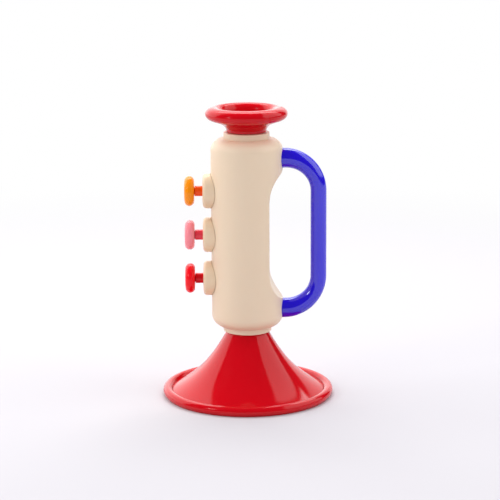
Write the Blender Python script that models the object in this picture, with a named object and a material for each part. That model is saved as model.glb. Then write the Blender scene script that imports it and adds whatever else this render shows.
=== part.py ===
"""A toy trumpet that stands on its bell.

Metres, +Z up. The origin lies on the trumpet's axis, level with the bell's foot. The handle is on the
+X side, the three buttons are on the -X side, and the body's two halves part on the plane y = 0.
"""
import math

import bmesh
import bpy
from mathutils import Matrix, Vector

# Clearances and cutting
GAP = 0.0003  # between two pieces that touch
OVERRUN = 0.006  # how far a cutter runs past what it cuts

# Heights, from the floor up
BELL_HEIGHT = 0.0469
LOWER_COLLAR_HEIGHT = 0.0042
BODY_LENGTH = 0.13585
UPPER_COLLAR_HEIGHT = 0.0043
MOUTHPIECE_HEIGHT = 0.01775

# Body: two moulded halves
BODY_RADIUS = 0.0255
BODY_WALL = 0.0022
LOWER_COLLAR_RADIUS = 0.0173
UPPER_COLLAR_RADIUS = 0.0163
LOWER_SHOULDER_HEIGHT = 0.0087
UPPER_SHOULDER_HEIGHT = 0.0084
COLLAR_EDGE = 0.0008
SCOOP_DEPTH_SHARE = 0.3804  # of the body's radius, from its round in to the flat behind the handle
SCOOP_BASE = 0.0145  # from the body's lower end up to the scoop
SCOOP_TOP = 0.01775  # from the scoop up to the body's upper end
SCOOP_ROUND = 0.026
RIB_THICKNESS = 0.0018
RIB_REACH = 0.0025  # from the parting plane to the rib that stops the chest
RIB_GRIP = 0.0075  # how close the end ribs come to the parting plane

# Body screws, each in a well in the rear half and a post in the front half
WELL_RADIUS = 0.0029
WELL_WALL = 0.0011
WELL_FLOOR = 0.0090  # from the parting plane to the seat of the screw's head
POST_RADIUS = 0.0034
SCREW_RADIUS = 0.0012
SCREW_HEAD_RADIUS = 0.0025
SCREW_HEAD_HEIGHT = 0.0018
SCREW_LENGTH = 0.0180
LEFT_SCREWS = -0.0130  # x of the screws on the button side
LOWER_LEFT_SCREW = 0.0144  # above the body's lower end
UPPER_LEFT_SCREW = 0.0178  # below the body's upper end
LOWER_RIGHT_SCREW = 0.0065  # from the handle's flange in to the screw
UPPER_RIGHT_SCREW = 0.0052  # the same, at the upper flange
LOWER_RIGHT_SHARE = 0.1028  # of the body's length, from its lower end up to the screw
UPPER_RIGHT_SHARE = 0.0814  # of the body's length, from its upper end down to the screw

# Bell: one moulding with a rolled rim
BELL_RADIUS = 0.0613
BELL_NECK_RADIUS = 0.0148
BELL_WALL = 0.0024
BEAD_RADIUS = 0.00335  # the rolled rim's own round
GROOVE_HEIGHT = 0.0045  # of the cone's lower edge
FOOT_WIDTH = 0.0043
BELL_SPIGOT_RADIUS = 0.0120
BELL_FLANGE_RADIUS = 0.0145
BELL_FLANGE_HEIGHT = 0.0025
FLARE_STRAIGHT_SHARE = 0.628
FLARE_POWER = 3.35
THROAT_SHARE = 0.15  # of the flare, where the inside leaves it for the throat

# Mouthpiece: one moulding with a fat oval rim
RIM_RADIUS = 0.0291
RIM_WIDTH = 0.0118
RIM_HEIGHT = 0.0097
RIM_CREST_SHARE = 0.44  # of the rim's width, from its inner edge to its crest
NECK_TOP_RADIUS = 0.0209
NECK_BASE_RADIUS = 0.0140
NECK_SWEEP = 65  # degrees of the neck's hollow curve
NECK_ROUND = 0.0010  # drop from the rim's underside to the top of the neck
CUP_DEPTH = 0.0125
BORE_RADIUS = 0.0040
MOUTH_SPIGOT_RADIUS = 0.0110
MOUTH_FLANGE_RADIUS = 0.0135
MOUTH_FLANGE_HEIGHT = 0.0027
TUBE_SOCKET_DEPTH = 0.0060

# Handle: one solid loop, thicker at its ends
HANDLE_BASE = 0.01245  # from the body's lower end up to the lower arm
HANDLE_TOP = 0.01435  # from the upper arm up to the body's upper end
HANDLE_REACH = 0.0254  # from the round of the body out to the middle of the grip
HANDLE_BEND = 0.0238
GRIP_RADIUS = 0.00570
ARM_RADIUS = 0.00720
HANDLE_FLANGE_RADIUS = 0.0083
HANDLE_FLANGE_HEIGHT = 0.0024
HANDLE_FLANGE_PLACE = 0.0061  # from the round of the body in to the flange's outer face

# Buttons
MIDDLE_BUTTON_SHARE = 0.4877  # of the body's length, from its lower end up to the middle button
BUTTON_PITCH_SHARE = 0.2331  # of the body's length
BUTTON_STANDOFF = 0.0188  # from the round of the body out to a cap's front
CAP_HEIGHT = 0.0070
CAP_RADIUS = 0.0107
CAP_SOCKET_DEPTH = 0.0040
BUTTON_TRAVEL = 0.0045
PRESS_CLEARANCE = 0.0015  # left between a pressed cap and its guide
GUIDE_RADIUS = 0.0124
GUIDE_ROUND = 0.0016
GUIDE_SPIGOT_RADIUS = 0.0070
GUIDE_FLANGE_RADIUS = 0.0095
GUIDE_FLANGE_HEIGHT = 0.0026
STEM_RADIUS = 0.0037
STEM_PEG_RADIUS = 0.0026
STOP_RADIUS = 0.0064
STOP_HEIGHT = 0.0020
TAIL_RADIUS = 0.0022
PIN_RADIUS = 0.0014
PIN_HEAD_RADIUS = 0.0024
PIN_HEAD_HEIGHT = 0.0010
PALLET_RADIUS = 0.0060
PALLET_HEIGHT = 0.0025
SPRING_RADIUS = 0.0050
SPRING_WIRE = 0.0008
SPRING_TURNS = 4

# Reed chest
CHEST_FACE_SHARE = 0.196  # of the body's radius, from the axis out to the chest's button side
CHEST_DEPTH_SHARE = 0.451  # of the body's radius
CHEST_WIDTH = 0.0200
CHEST_WALL = 0.0020
CELL_SHARE = 0.7336  # of the way from one button to the next
PORT_RADIUS = 0.0036
PLATE_THICKNESS = 0.0010
SLOT_WIDTH = 0.0028
SLOT_SHARE = 0.652  # of the cell's length
REED_WIDTH = 0.0020
REED_SHARE = 0.565  # of the cell's length
REED_THICKNESS = 0.00025
REED_BASE_WIDTH = 0.0060
REED_BASE_SHARE = 0.174  # of the cell's length
RIVET_RADIUS = 0.0008
RIVET_HEAD_RADIUS = 0.0016
RIVET_HEAD_HEIGHT = 0.0004
CHANNEL_WALL = 0.0014
PLENUM_SHARE = 0.0496  # of the body's length
PLENUM_REACH = 0.0070  # from the axis out to the plenum's button side
INLET_HEIGHT = 0.0048
INLET_WALL = 0.0016
TUBE_SHARE = 0.196  # of the body's radius
TUBE_WALL = 0.0014
CHEST_SCREW_OFFSET = 0.0060  # from the parting plane
CHEST_SCREW_RADIUS = 0.0010
CHEST_SCREW_HEAD_RADIUS = 0.0019
CHEST_SCREW_HEAD_HEIGHT = 0.0012
CHEST_SCREW_LENGTH = 0.0110
CHEST_POST_WALL = 0.0008

# Counts of sides and steps
LARGE_SIDES = 36
MOUTH_SIDES = 32
GUIDE_SIDES = 20
CAP_SIDES = 20
SMALL_SIDES = 10
HANDLE_SIDES = 14
TURN_POINTS = 8
FLARE_STEPS = 8
THROAT_STEPS = 5
BEAD_STEPS = 8
SHOULDER_STEPS = 5
SCOOP_STEPS = 9
RIM_STEPS = 8
CUP_STEPS = 4
NECK_STEPS = 5
EDGE_STEPS = 5
BEND_STEPS = 7

# Places worked out from the sizes above
BODY_BOTTOM = BELL_HEIGHT + LOWER_COLLAR_HEIGHT
BODY_TOP = BODY_BOTTOM + BODY_LENGTH
COLLAR_TOP = BODY_TOP + UPPER_COLLAR_HEIGHT
CREST = COLLAR_TOP + MOUTHPIECE_HEIGHT
CAVITY_RADIUS = BODY_RADIUS - BODY_WALL
CAVITY_FLOOR = BODY_BOTTOM + BODY_WALL
CAVITY_CEILING = BODY_TOP - BODY_WALL
SCOOP_PLANE = BODY_RADIUS * (1 - SCOOP_DEPTH_SHARE)
HANDLE_LOW = BODY_BOTTOM + HANDLE_BASE
HANDLE_HIGH = BODY_TOP - HANDLE_TOP
GRIP_PLACE = BODY_RADIUS + HANDLE_REACH
FLANGE_OUTER = BODY_RADIUS - HANDLE_FLANGE_PLACE
FLANGE_INNER = FLANGE_OUTER - HANDLE_FLANGE_HEIGHT
SCREW_TIP = WELL_FLOOR + GAP - SCREW_LENGTH
MIDDLE_BUTTON = BODY_BOTTOM + BODY_LENGTH * MIDDLE_BUTTON_SHARE
BUTTON_PITCH = BODY_LENGTH * BUTTON_PITCH_SHARE
BUTTON_FACE = BODY_RADIUS + BUTTON_STANDOFF
BUTTONS = {
    "bottom": MIDDLE_BUTTON - BUTTON_PITCH,
    "middle": MIDDLE_BUTTON,
    "top": MIDDLE_BUTTON + BUTTON_PITCH,
}
CELL_LENGTH = BUTTON_PITCH * CELL_SHARE
CELL_HALF = CELL_LENGTH / 2
SLOT_LENGTH = CELL_LENGTH * SLOT_SHARE
REED_LENGTH = CELL_LENGTH * REED_SHARE
REED_BASE_LENGTH = CELL_LENGTH * REED_BASE_SHARE
CHEST_BOTTOM = BUTTONS["bottom"] - CELL_HALF - CHEST_WALL
CHEST_TOP = BUTTONS["top"] + CELL_HALF + CHEST_WALL
CHEST_HALF = CHEST_WIDTH / 2
CHEST_FACE = BODY_RADIUS * CHEST_FACE_SHARE
CHEST_BACK = BODY_RADIUS * CHEST_DEPTH_SHARE - CHEST_FACE
PLATE_FRONT = CHEST_BACK + GAP
PLATE_BACK = PLATE_FRONT + PLATE_THICKNESS
CHANNEL_FRONT = PLATE_BACK + GAP
CHANNEL_BACK = SCOOP_PLANE - BODY_WALL - GAP
PLENUM_BOTTOM = CHEST_TOP + GAP
PLENUM_HEIGHT = BODY_LENGTH * PLENUM_SHARE
PLENUM_TOP = PLENUM_BOTTOM + PLENUM_HEIGHT
TUBE_RADIUS = BODY_RADIUS * TUBE_SHARE
WEBS = [BUTTONS["middle"] - BUTTON_PITCH / 2, BUTTONS["middle"] + BUTTON_PITCH / 2]
CHEST_SCREWS = [(side * CHEST_SCREW_OFFSET, height) for side in (-1, 1) for height in WEBS]
BODY_SCREWS = [
    (LEFT_SCREWS, BODY_BOTTOM + LOWER_LEFT_SCREW),
    *[(LEFT_SCREWS, height) for height in WEBS],
    (LEFT_SCREWS, BODY_TOP - UPPER_LEFT_SCREW),
    (FLANGE_INNER - LOWER_RIGHT_SCREW, BODY_BOTTOM + BODY_LENGTH * LOWER_RIGHT_SHARE),
    (FLANGE_INNER - UPPER_RIGHT_SCREW, BODY_TOP - BODY_LENGTH * UPPER_RIGHT_SHARE),
]
GUIDE_BORE = STEM_RADIUS + GAP
GUIDE_FLANGE_OUTER = math.sqrt(CAVITY_RADIUS**2 - GUIDE_FLANGE_RADIUS**2) - GAP
GUIDE_INNER = GUIDE_FLANGE_OUTER - GUIDE_FLANGE_HEIGHT
STOP_OUTER = GUIDE_INNER - GAP
STOP_INNER = STOP_OUTER - STOP_HEIGHT
CAP_BACK = BUTTON_FACE - CAP_HEIGHT
GUIDE_FACE = CAP_BACK - BUTTON_TRAVEL - PRESS_CLEARANCE
PALLET_OUTER = CHEST_FACE - CHEST_WALL - GAP
PALLET_INNER = PALLET_OUTER - PALLET_HEIGHT

ALONG_X = Matrix.Rotation(math.radians(90), 4, "Y")
ALONG_Y = Matrix.Rotation(math.radians(-90), 4, "X")


def clear_scene():
    for old in list(bpy.data.objects):
        bpy.data.objects.remove(old)


# Shapes, each as a list of points and a list of faces

def turned(outline, sides, axis=Matrix.Identity(4)):
    """A closed outline of (radius, place) points, turned about Z and then laid along an axis."""
    points, faces, rings = [], [], []
    for radius, place in outline:
        count = sides if radius else 1
        rings.append(range(len(points), len(points) + count))
        for step in range(count):
            angle = math.tau * step / sides
            points.append(axis @ Vector((radius * math.cos(angle), radius * math.sin(angle), place)))
    for place, ring in enumerate(rings):
        after = (place + 1) % len(rings)
        following = rings[after]
        if len(ring) == len(following) == 1:
            continue
        if min(len(ring), len(following)) == 1 and outline[place][1] == outline[after][1]:
            faces.append(list(max(ring, following, key=len)))  # a flat end is one face
            continue
        for step in range(sides):
            pairs = [(ring, step), (ring, step + 1), (following, step + 1), (following, step)]
            corners = [row[number % len(row)] for row, number in pairs]
            faces.append(list(dict.fromkeys(corners)))
    return points, faces


def rod(radius, low, high, sides, axis=Matrix.Identity(4)):
    return turned([(0, low), (radius, low), (radius, high), (0, high)], sides, axis)


def prism(outline, low, high, along):
    """An outline pushed along Y (the outline is then in x and z) or along Z (in x and y)."""
    count = len(outline)
    points = []
    for place in (low, high):
        for u, v in outline:
            points.append(Vector((u, place, v) if along == "Y" else (u, v, place)))
    faces = [list(range(count)), list(range(count, 2 * count))]
    for step in range(count):
        after = (step + 1) % count
        faces.append([step, after, count + after, count + step])
    return points, faces


def block(low, high):
    corners = [(low[0], low[1]), (high[0], low[1]), (high[0], high[1]), (low[0], high[1])]
    return prism(corners, low[2], high[2], "Z")


def moved(shape, x=0.0, y=0.0, z=0.0):
    points, faces = shape
    return [point + Vector((x, y, z)) for point in points], faces


def together(shapes):
    points, faces = [], []
    for more_points, more_faces in shapes:
        start = len(points)
        points += more_points
        faces += [[start + corner for corner in face] for face in more_faces]
    return points, faces


def arc(centre, across, up, start, end, steps):
    """Points of a round or oval arc, from one angle to another in degrees."""
    points = []
    for step in range(steps + 1):
        angle = math.radians(start + (end - start) * step / steps)
        points.append((centre[0] + across * math.cos(angle), centre[1] + up * math.sin(angle)))
    return points


# Objects

def plastic(name, colour, roughness, metallic=0.0):
    made = bpy.data.materials.new(name)
    made.use_nodes = True
    shader = made.node_tree.nodes["Principled BSDF"]
    shader.inputs["Base Color"].default_value = (*colour, 1.0)
    shader.inputs["Roughness"].default_value = roughness
    shader.inputs["Metallic"].default_value = metallic
    made.diffuse_color = (*colour, 1.0)
    return made


def mesh_of(name, shape):
    points, faces = shape
    mesh = bpy.data.meshes.new(name)
    mesh.from_pydata(points, [], faces)
    shaping = bmesh.new()
    shaping.from_mesh(mesh)
    loose = [point for point in shaping.verts if not point.link_faces]
    bmesh.ops.delete(shaping, geom=loose, context="VERTS")
    bmesh.ops.recalc_face_normals(shaping, faces=shaping.faces)
    shaping.to_mesh(mesh)
    shaping.free()
    mesh.shade_smooth()
    mesh.set_sharp_from_angle(angle=math.radians(35))
    return mesh


def piece(name, shape, finish, height=0.0):
    """A named sub-part. The height is that of its own axis, for a piece that is built about one."""
    made = bpy.data.objects.new(name, mesh_of(name, shape))
    made.data.materials.append(finish)
    made.location.z = height
    bpy.context.scene.collection.objects.link(made)
    return made


def helper(name, shape, height=0.0):
    """A shape that only cuts, joins or trims other shapes."""
    made = bpy.data.objects.new(name, mesh_of(name, shape))
    made.location.z = height
    made.hide_render = True
    made.display_type = "WIRE"
    bpy.context.scene.collection.objects.link(made)
    return made


def combine(target, operation, *others):
    for other in others:
        step = target.modifiers.new(other.name, "BOOLEAN")
        step.operation = operation
        step.solver = "EXACT"
        step.object = other


# Body

def body_shoulders(inset):
    """The body's side from its lower to its upper end, drawn in by an inset."""
    lower_centre = (LOWER_COLLAR_RADIUS, BODY_BOTTOM + LOWER_SHOULDER_HEIGHT)
    upper_centre = (UPPER_COLLAR_RADIUS, BODY_TOP - UPPER_SHOULDER_HEIGHT)
    radius = BODY_RADIUS - inset
    lower = arc(lower_centre, radius - lower_centre[0], LOWER_SHOULDER_HEIGHT - inset, -90, 0, SHOULDER_STEPS)
    upper = arc(upper_centre, radius - upper_centre[0], UPPER_SHOULDER_HEIGHT - inset, 0, 90, SHOULDER_STEPS)
    return lower + upper


def body_outline():
    low, high = BELL_HEIGHT + GAP, COLLAR_TOP
    low_edge = (LOWER_COLLAR_RADIUS - COLLAR_EDGE, low + COLLAR_EDGE)
    high_edge = (UPPER_COLLAR_RADIUS - COLLAR_EDGE, high - COLLAR_EDGE)
    below = arc(low_edge, COLLAR_EDGE, COLLAR_EDGE, -90, 0, 2)
    above = arc(high_edge, COLLAR_EDGE, COLLAR_EDGE, 0, 90, 2)
    return [(0, low)] + below + body_shoulders(0) + above + [(0, high)]


def scoop_outline(inset):
    """The scoop in x and z. An inset of one wall gives the inside of the wall behind it."""
    plane = SCOOP_PLANE - inset
    low, high = BODY_BOTTOM + SCOOP_BASE - inset, BODY_TOP - SCOOP_TOP + inset
    bend = SCOOP_ROUND + inset
    lower = arc((plane + bend, low + bend), bend, bend, 270, 180, SCOOP_STEPS)
    upper = arc((plane + bend, high - bend), bend, bend, 180, 90, SCOOP_STEPS)
    edge = plane + bend + OVERRUN
    return [(edge, low)] + lower + upper + [(edge, high)]


def chest_ribs(side):
    """The ribs of one half: two that hug the chest at its webs, and one past each of its ends."""
    far = side * (BODY_RADIUS + OVERRUN)
    near, stop, grip = side * (CHEST_HALF + GAP), side * RIB_REACH, side * RIB_GRIP
    front, back = -CHEST_FACE - GAP, SCOOP_PLANE
    left = LEFT_SCREWS
    cradle = [(left, stop), (front, stop), (front, near), (back, near), (back, far), (left, far)]
    plate = [(-PLENUM_REACH, grip), (CHANNEL_FRONT, grip), (CHANNEL_FRONT, far), (-PLENUM_REACH, far)]
    half = RIB_THICKNESS / 2
    ribs = [prism(cradle, height - half, height + half, "Z") for height in WEBS]
    below, above = CHEST_BOTTOM - GAP, PLENUM_TOP + GAP
    ribs.append(prism(plate, below - RIB_THICKNESS, below, "Z"))
    ribs.append(prism(plate, above, above + RIB_THICKNESS, "Z"))
    return together(ribs)


def at_body_screws(radius, low, high):
    """One rod along Y at each body screw."""
    one = rod(radius, low, high, SMALL_SIDES, ALONG_Y)
    return together([moved(one, x=x, z=z) for x, z in BODY_SCREWS])


def half_cavity(half_name, side):
    """The hollow in one half of the body, with everything that stands in that half left out."""
    far = BODY_RADIUS + OVERRUN
    floor, ceiling = (0, CAVITY_FLOOR), (0, CAVITY_CEILING)
    outline = [floor] + body_shoulders(BODY_WALL) + [ceiling]
    cavity = helper(half_name + "_cavity", turned(outline, LARGE_SIDES))
    flat = helper(half_name + "_scoop_wall", prism(scoop_outline(BODY_WALL), -far, far, "Y"))
    ribs = helper(half_name + "_ribs", chest_ribs(side))
    ends = sorted((side * far, -side * OVERRUN))
    boss_radius = WELL_RADIUS + WELL_WALL if side > 0 else POST_RADIUS
    bosses = helper(half_name + "_bosses", at_body_screws(boss_radius, *ends))
    socket_radius = HANDLE_FLANGE_RADIUS + BODY_WALL / 2
    socket = rod(socket_radius, FLANGE_OUTER + GAP, far, HANDLE_SIDES, ALONG_X)
    sockets = together([moved(socket, z=z) for z in (HANDLE_LOW, HANDLE_HIGH)])
    combine(cavity, "DIFFERENCE", flat, ribs, bosses, helper(half_name + "_sockets", sockets))
    return cavity


def body_holes():
    """Everything that passes through the body's walls."""
    far = BODY_RADIUS + OVERRUN
    lower = rod(BELL_SPIGOT_RADIUS + GAP, BELL_HEIGHT - OVERRUN, BODY_BOTTOM + BODY_WALL + GAP, LARGE_SIDES)
    upper = rod(MOUTH_SPIGOT_RADIUS + GAP, CAVITY_CEILING - GAP, COLLAR_TOP + OVERRUN, LARGE_SIDES)
    arm = rod(ARM_RADIUS + GAP, FLANGE_OUTER - GAP, far, HANDLE_SIDES, ALONG_X)
    guide = rod(GUIDE_SPIGOT_RADIUS + GAP, -far, -GUIDE_INNER, GUIDE_SIDES, ALONG_X)
    holes = [lower, upper]
    holes += [moved(arm, z=z) for z in (HANDLE_LOW, HANDLE_HIGH)]
    holes += [moved(guide, z=z) for z in BUTTONS.values()]
    return helper("body_holes", together(holes))


def make_body(finish):
    far = BODY_RADIUS + OVERRUN
    scoop = helper("scoop", prism(scoop_outline(0), -far, far, "Y"))
    holes = body_holes()
    pilot = SCREW_RADIUS + GAP
    threads = helper("screw_pilots", at_body_screws(pilot, SCREW_TIP - pilot, WELL_FLOOR + OVERRUN))
    seats = helper("screw_seats", at_body_screws(WELL_RADIUS, WELL_FLOOR, far))
    low, high = BELL_HEIGHT - OVERRUN, COLLAR_TOP + OVERRUN
    for name, side in (("front_shell", -1), ("rear_shell", 1)):
        shell = piece(name, turned(body_outline(), LARGE_SIDES), finish)
        edges = sorted((side * GAP / 2, side * far))
        half = helper(name + "_half", block((-far, edges[0], low), (far, edges[1], high)))
        cavity = half_cavity(name, side)
        combine(shell, "INTERSECT", half)
        combine(shell, "DIFFERENCE", scoop, cavity, holes, threads, seats)


def make_shell_screws(finish):
    """Round-headed screws, driven in from the rear."""
    seat, tip = WELL_FLOOR + GAP, SCREW_TIP
    head = arc((0, seat), SCREW_HEAD_RADIUS, SCREW_HEAD_HEIGHT, 0, 90, 3)
    outline = [(0, tip), (SCREW_RADIUS, tip + SCREW_RADIUS), (SCREW_RADIUS, seat)] + head[:-1]
    screw = turned(outline + [(0, seat + SCREW_HEAD_HEIGHT)], SMALL_SIDES, ALONG_Y)
    for number, (x, z) in enumerate(BODY_SCREWS, 1):
        piece(f"shell_screw_{number}", moved(screw, x=x, z=z), finish)


# Bell

def flare(share, inset):
    """A point of the cone, at a share of the way from its top to its rim, drawn in by an inset."""
    groove = BELL_RADIUS - 2 * BEAD_RADIUS
    spread, drop = groove - BELL_NECK_RADIUS, BELL_HEIGHT - GROOVE_HEIGHT
    curve_share = 1 - FLARE_STRAIGHT_SHARE
    radius = BELL_NECK_RADIUS + spread * (FLARE_STRAIGHT_SHARE * share + curve_share * share**FLARE_POWER)
    run = spread * (FLARE_STRAIGHT_SHARE + curve_share * FLARE_POWER * share ** (FLARE_POWER - 1))
    steep = math.hypot(run, drop)
    return radius - inset * drop / steep, BELL_HEIGHT - share * drop - inset * run / steep


def make_bell(finish):
    throat = BELL_SPIGOT_RADIUS - BELL_WALL
    flange_low = CAVITY_FLOOR + GAP
    flange_high = flange_low + BELL_FLANGE_HEIGHT
    neck = [(throat, flange_high), (BELL_FLANGE_RADIUS, flange_high), (BELL_FLANGE_RADIUS, flange_low)]
    neck += [(BELL_SPIGOT_RADIUS, flange_low), (BELL_SPIGOT_RADIUS, BELL_HEIGHT)]
    outside = [flare(step / FLARE_STEPS, 0) for step in range(FLARE_STEPS + 1)]
    bead = arc((BELL_RADIUS - BEAD_RADIUS, BEAD_RADIUS), BEAD_RADIUS, BEAD_RADIUS, 168, -60, BEAD_STEPS)
    foot = [(bead[-1][0], 0), (bead[-1][0] - FOOT_WIDTH, 0)]
    inner_share = (1 - THROAT_SHARE) / THROAT_STEPS
    inside = [flare(1 - inner_share * step, BELL_WALL) for step in range(THROAT_STEPS + 1)]
    outline = neck + outside + bead + foot + inside + [(throat, BELL_HEIGHT - BELL_WALL)]
    piece("bell", turned(outline, LARGE_SIDES), finish)


# Mouthpiece and blow tube

def make_mouthpiece(finish):
    flange_high = CAVITY_CEILING - GAP
    flange_low = flange_high - MOUTH_FLANGE_HEIGHT
    socket, socket_top = TUBE_RADIUS + GAP, flange_low + TUBE_SOCKET_DEPTH
    cup_bottom = CREST - CUP_DEPTH
    inner = RIM_RADIUS - RIM_WIDTH
    crest_width = RIM_WIDTH * RIM_CREST_SHARE
    crest_radius, middle = inner + crest_width, CREST - RIM_HEIGHT / 2
    bowl = arc((BORE_RADIUS, middle), inner - BORE_RADIUS, middle - cup_bottom, -90, 0, CUP_STEPS)
    over = arc((crest_radius, middle), crest_width, RIM_HEIGHT / 2, 180, 90, CUP_STEPS)
    outer = arc((crest_radius, middle), RIM_WIDTH - crest_width, RIM_HEIGHT / 2, 90, -90, RIM_STEPS)
    neck_top = CREST - RIM_HEIGHT - NECK_ROUND
    neck_base = COLLAR_TOP + GAP
    across = (NECK_TOP_RADIUS - NECK_BASE_RADIUS) / (1 - math.cos(math.radians(NECK_SWEEP)))
    rise = (neck_top - neck_base) / math.sin(math.radians(NECK_SWEEP))
    neck = arc((NECK_BASE_RADIUS + across, neck_base), -across, rise, NECK_SWEEP, 0, NECK_STEPS)
    outline = [(socket, flange_low), (socket, socket_top), (BORE_RADIUS, socket_top)]
    outline += bowl + over[1:] + outer[1:] + neck
    outline += [(MOUTH_SPIGOT_RADIUS, neck_base), (MOUTH_SPIGOT_RADIUS, flange_high)]
    outline += [(MOUTH_FLANGE_RADIUS, flange_high), (MOUTH_FLANGE_RADIUS, flange_low)]
    piece("mouthpiece", turned(outline, MOUTH_SIDES), finish)
    return socket_top


def make_blow_tube(socket_top, finish):
    low, high = PLENUM_TOP + GAP, socket_top - GAP
    bore = TUBE_RADIUS - TUBE_WALL
    outline = [(bore, low), (TUBE_RADIUS, low), (TUBE_RADIUS, high), (bore, high)]
    piece("blow_tube", turned(outline, SMALL_SIDES), finish)


# Handle

def handle_stations():
    """Places along the handle, each with its x, z, heading in degrees and radius."""
    bend_x = GRIP_PLACE - HANDLE_BEND
    straight = bend_x - FLANGE_OUTER
    length = straight + HANDLE_BEND * math.pi / 2

    def radius(along):
        eased = (1 - math.cos(math.pi * along / length)) / 2
        return ARM_RADIUS + (GRIP_RADIUS - ARM_RADIUS) * eased

    upper = [(x, HANDLE_HIGH, 0, HANDLE_FLANGE_RADIUS) for x in (FLANGE_INNER, FLANGE_OUTER)]
    upper.append((FLANGE_OUTER, HANDLE_HIGH, 0, ARM_RADIUS))
    for step in range(BEND_STEPS + 1):
        turn = 90 * step / BEND_STEPS
        sine, cosine = math.sin(math.radians(turn)), math.cos(math.radians(turn))
        along = straight + HANDLE_BEND * math.radians(turn)
        drop = HANDLE_BEND * (1 - cosine)
        upper.append((bend_x + HANDLE_BEND * sine, HANDLE_HIGH - drop, -turn, radius(along)))
    middle = HANDLE_HIGH + HANDLE_LOW
    lower = [(x, middle - z, 180 - heading, size) for x, z, heading, size in reversed(upper)]
    return upper + lower


def make_handle(finish):
    points, faces = [], []
    stations = handle_stations()
    for x, z, heading, radius in stations:
        sideways = Vector((-math.sin(math.radians(heading)), 0, math.cos(math.radians(heading))))
        for step in range(HANDLE_SIDES):
            angle = math.tau * step / HANDLE_SIDES
            across = sideways * math.cos(angle) + Vector((0, math.sin(angle), 0))
            points.append(Vector((x, 0, z)) + across * radius)
    for row in range(len(stations) - 1):
        for step in range(HANDLE_SIDES):
            after = (step + 1) % HANDLE_SIDES
            one, other = row * HANDLE_SIDES, (row + 1) * HANDLE_SIDES
            faces.append([one + step, one + after, other + after, other + step])
    faces.append(list(range(HANDLE_SIDES)))
    faces.append(list(range(len(points) - HANDLE_SIDES, len(points))))
    piece("handle", (points, faces), finish)


# Buttons and valves, each built about its own axis and set at its height

def make_cap(which, height, finish):
    half = CAP_HEIGHT / 2
    centre = (CAP_RADIUS - half, -BUTTON_FACE + half)
    edge = arc(centre, half, half, -90, 90, EDGE_STEPS)
    socket = STEM_PEG_RADIUS + GAP
    floor = -CAP_BACK - CAP_SOCKET_DEPTH - GAP
    outline = [(0, -BUTTON_FACE)] + edge + [(socket, -CAP_BACK), (socket, floor), (0, floor)]
    piece("button_cap_" + which, turned(outline, CAP_SIDES, ALONG_X), finish, height)


def make_stem(which, height, finish):
    shoulder = -CAP_BACK + GAP
    peg = -CAP_BACK - CAP_SOCKET_DEPTH
    tail_end = -PALLET_OUTER - GAP
    pin_end = -PALLET_INNER + GAP
    outline = [(0, peg), (STEM_PEG_RADIUS, peg), (STEM_PEG_RADIUS, shoulder), (STEM_RADIUS, shoulder)]
    outline += [(STEM_RADIUS, -STOP_OUTER), (STOP_RADIUS, -STOP_OUTER), (STOP_RADIUS, -STOP_INNER)]
    outline += [(TAIL_RADIUS, -STOP_INNER), (TAIL_RADIUS, tail_end), (PIN_RADIUS, tail_end)]
    outline += [(PIN_RADIUS, pin_end), (PIN_HEAD_RADIUS, pin_end)]
    outline += [(PIN_HEAD_RADIUS, pin_end + PIN_HEAD_HEIGHT), (0, pin_end + PIN_HEAD_HEIGHT)]
    piece("valve_stem_" + which, turned(outline, SMALL_SIDES, ALONG_X), finish, height)


def make_pallet(which, height, finish):
    hole = PIN_RADIUS + GAP
    outline = [(hole, -PALLET_OUTER), (PALLET_RADIUS, -PALLET_OUTER)]
    outline += [(PALLET_RADIUS, -PALLET_INNER), (hole, -PALLET_INNER)]
    piece("valve_pallet_" + which, turned(outline, SMALL_SIDES, ALONG_X), finish, height)


def make_guide(which, height, finish):
    """A disc that saddles the body, with a spigot through the wall and a flange behind it."""
    back = -GUIDE_FLANGE_OUTER
    centre = (GUIDE_RADIUS - GUIDE_ROUND, -GUIDE_FACE + GUIDE_ROUND)
    front = [(0, -GUIDE_FACE)] + arc(centre, GUIDE_ROUND, GUIDE_ROUND, -90, 0, 3)
    disc = turned(front + [(GUIDE_RADIUS, back), (0, back)], GUIDE_SIDES, ALONG_X)
    guide = piece("valve_guide_" + which, disc, finish, height)
    reach = GUIDE_RADIUS + OVERRUN
    saddle = helper("saddle_" + which, rod(BODY_RADIUS + GAP, -reach, reach, LARGE_SIDES), height)
    inside = (-GUIDE_FACE - BODY_RADIUS) / 2
    spigot_outline = [(0, inside), (GUIDE_SPIGOT_RADIUS, inside), (GUIDE_SPIGOT_RADIUS, back)]
    spigot_outline += [(GUIDE_FLANGE_RADIUS, back), (GUIDE_FLANGE_RADIUS, -GUIDE_INNER), (0, -GUIDE_INNER)]
    spigot = helper("spigot_" + which, turned(spigot_outline, GUIDE_SIDES, ALONG_X), height)
    low, high = -GUIDE_FACE - OVERRUN, -GUIDE_INNER + OVERRUN
    bore = helper("guide_bore_" + which, rod(GUIDE_BORE, low, high, SMALL_SIDES, ALONG_X), height)
    combine(guide, "DIFFERENCE", saddle)
    combine(guide, "UNION", spigot)
    combine(guide, "DIFFERENCE", bore)


def spring_points():
    """The centre line of a spring: straight ends along the axis, and the turns between them."""
    start = -STOP_INNER + GAP
    end = -CHEST_FACE - GAP
    rise = (end - start - 2 * SPRING_WIRE) / SPRING_TURNS
    points = [Vector((start, SPRING_RADIUS, 0))]
    for step in range(SPRING_TURNS * TURN_POINTS + 1):
        angle = math.tau * step / TURN_POINTS
        place = start + SPRING_WIRE + rise * step / TURN_POINTS
        points.append(Vector((place, SPRING_RADIUS * math.cos(angle), SPRING_RADIUS * math.sin(angle))))
    return points + [Vector((end, SPRING_RADIUS, 0))]


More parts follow.
